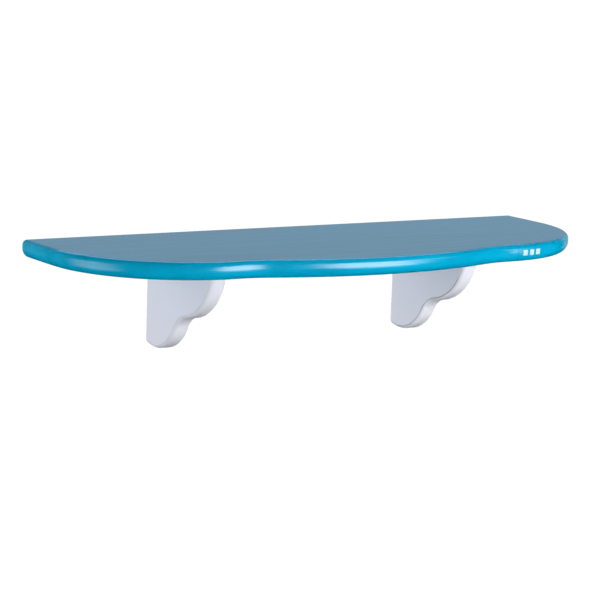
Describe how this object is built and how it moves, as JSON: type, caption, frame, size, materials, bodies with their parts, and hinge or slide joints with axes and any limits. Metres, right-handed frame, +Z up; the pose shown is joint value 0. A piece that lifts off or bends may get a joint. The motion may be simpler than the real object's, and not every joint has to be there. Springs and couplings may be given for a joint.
{
  "type": "wall shelf",
  "caption": "Painted wall shelf: a board with a wavy rounded front edge on scroll-cut brackets that hang from keyhole plates.",
  "frame": {"origin": "middle of the board's back face, where the shelf meets the wall", "axes": "+X along the shelf towards its right-hand end seen from the front, +Y into the wall, +Z up"},
  "size_m": [0.6, 0.217, 0.1154],
  "materials": {
    "board_paint": "turquoise satin paint on fibreboard",
    "bracket_paint": "white satin paint on fibreboard",
    "dowel_wood": "bare beech",
    "screw_steel": "bright zinc plate",
    "plate_steel": "bright zinc plate",
    "label_film": null
  },
  "bodies": {
    "root": {"shelf_board": "board_paint", "bracket_left": "bracket_paint", "bracket_right": "bracket_paint", "dowel_left_back": "dowel_wood", "dowel_left_front": "dowel_wood", "dowel_right_back": "dowel_wood", "dowel_right_front": "dowel_wood", "keyhole_plate_left": "plate_steel", "keyhole_plate_right": "plate_steel", "plate_screw_left_top": "screw_steel", "plate_screw_left_bottom": "screw_steel", "plate_screw_right_top": "screw_steel", "plate_screw_right_bottom": "screw_steel", "edge_label": "label_film"}
  },
  "joints": []
}
